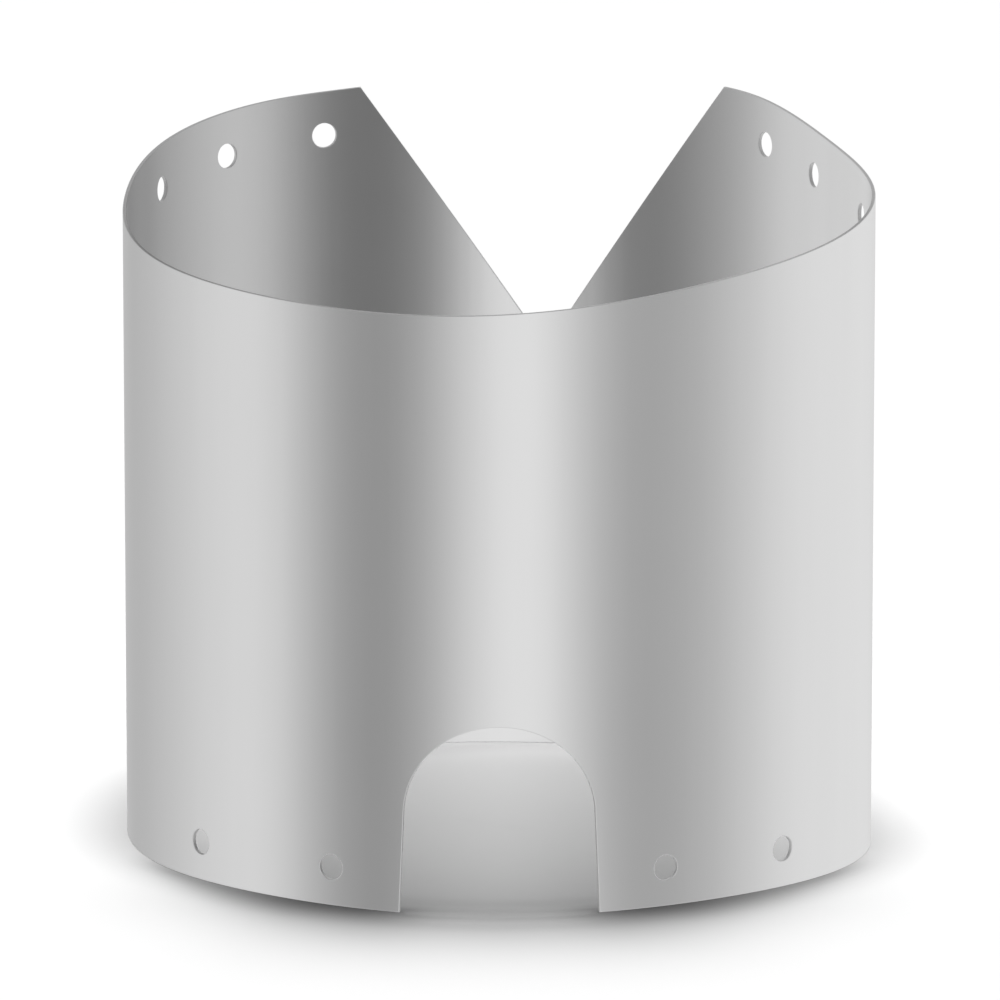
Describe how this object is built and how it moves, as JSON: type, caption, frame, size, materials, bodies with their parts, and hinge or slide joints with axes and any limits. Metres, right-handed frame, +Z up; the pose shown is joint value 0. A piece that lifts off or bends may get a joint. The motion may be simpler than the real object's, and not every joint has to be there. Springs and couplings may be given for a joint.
{
  "type": "stove windscreen",
  "caption": "Rolled sheet metal ring that shields a small camping stove from wind, with an arch in front, vent holes, and a lapped back under a V notch.",
  "frame": {"origin": "on the floor, in the middle of the outline seen from above", "axes": "+Z up, -Y towards the arch in the front, +X to the right of someone who looks at the arch"},
  "size_m": [0.1482, 0.152, 0.1399],
  "materials": {
    "sheet": "satin rolled sheet",
    "studs": "turned, lightly polished"
  },
  "bodies": {
    "front": {"front_wall": "sheet"},
    "left": {"left_wing": "sheet", "closure_stud_lower": "studs", "closure_stud_upper": "studs"},
    "right": {"right_wing": "sheet"}
  },
  "joints": [
    {"name": "left_bend", "type": "hinge", "parent": "front", "child": "left", "pos_m": [-0.07336, -0.00761, 0], "axis": [0, 0, 1], "range_deg": [0, 25], "stiffness_Nm_per_rad": 2},
    {"name": "right_bend", "type": "hinge", "parent": "front", "child": "right", "pos_m": [0.07349, -0.00785, 0], "axis": [0, 0, -1], "range_deg": [0, 25], "stiffness_Nm_per_rad": 2}
  ],
  "couplings": [
    {"joint": "right_bend", "follows": "left_bend", "ratio": 1}
  ]
}
